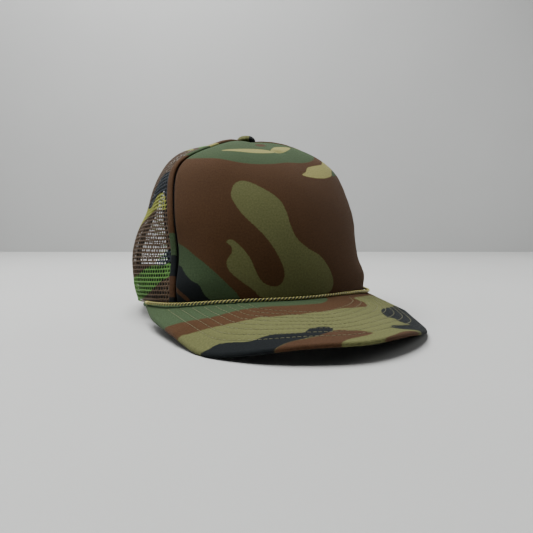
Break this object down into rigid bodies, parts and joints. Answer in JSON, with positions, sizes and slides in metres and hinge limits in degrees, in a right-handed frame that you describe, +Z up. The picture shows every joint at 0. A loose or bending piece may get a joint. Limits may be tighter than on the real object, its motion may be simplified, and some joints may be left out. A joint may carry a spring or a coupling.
{
  "type": "trucker mesh cap",
  "caption": "Trucker cap with a foam-backed camouflage front, mesh sides and back, flat stitched visor with a rope, covered top button and snap closure.",
  "frame": {"origin": "on the floor under the middle of the whole cap, as it stands", "axes": "visor points to -Y, +X is the wearer's left, +Z up"},
  "size_m": [0.1844, 0.2699, 0.1413],
  "materials": {
    "printed_fabric": "matt woodland print twill",
    "foam": "soft polyester foam",
    "printed_mesh": "printed polyester netting",
    "black_tape": "woven tape",
    "black_cotton": "matt cotton",
    "snap_plastic": "moulded satin black",
    "rivet_metal": "plain",
    "board_plastic": "raw sheet",
    "stitch_thread": "thread",
    "gold_rope": "twisted cord"
  },
  "bodies": {
    "cap": {"front_panel": "printed_fabric", "front_foam": "foam", "seam_welt_left": "printed_fabric", "seam_welt_right": "printed_fabric", "side_mesh_left": "printed_mesh", "side_mesh_right": "printed_mesh", "rear_mesh_left": "printed_mesh", "rear_mesh_right": "printed_mesh", "front_seam_tape_left": "black_tape", "front_seam_tape_right": "black_tape", "side_seam_tape_left": "black_tape", "side_seam_tape_right": "black_tape", "rear_seam_tape": "black_tape", "sweatband": "black_cotton", "arch_binding": "black_tape", "strap_anchor_left": "black_cotton", "strap_anchor_right": "black_cotton", "top_button": "printed_fabric", "button_rivet": "rivet_metal", "visor_top_cover": "printed_fabric", "visor_board": "board_plastic", "visor_under_cover": "black_cotton", "visor_stitching": "stitch_thread", "rope": "gold_rope", "rope_tack_left": "gold_rope", "rope_tack_right": "gold_rope"},
    "outer_strap": {"hole_strap": "snap_plastic"},
    "inner_strap": {"peg_strap": "snap_plastic"}
  },
  "joints": [
    {"name": "outer_strap_hinge", "type": "hinge", "parent": "cap", "child": "outer_strap", "pos_m": [-0.03074, 0.12495, 0.01453], "axis": [0, 0.1045, 0.9945], "range_deg": [0, 60]},
    {"name": "inner_strap_hinge", "type": "hinge", "parent": "cap", "child": "inner_strap", "pos_m": [0.03074, 0.12332, 0.0147], "axis": [0, 0.1045, 0.9945], "range_deg": [0, 30]}
  ]
}
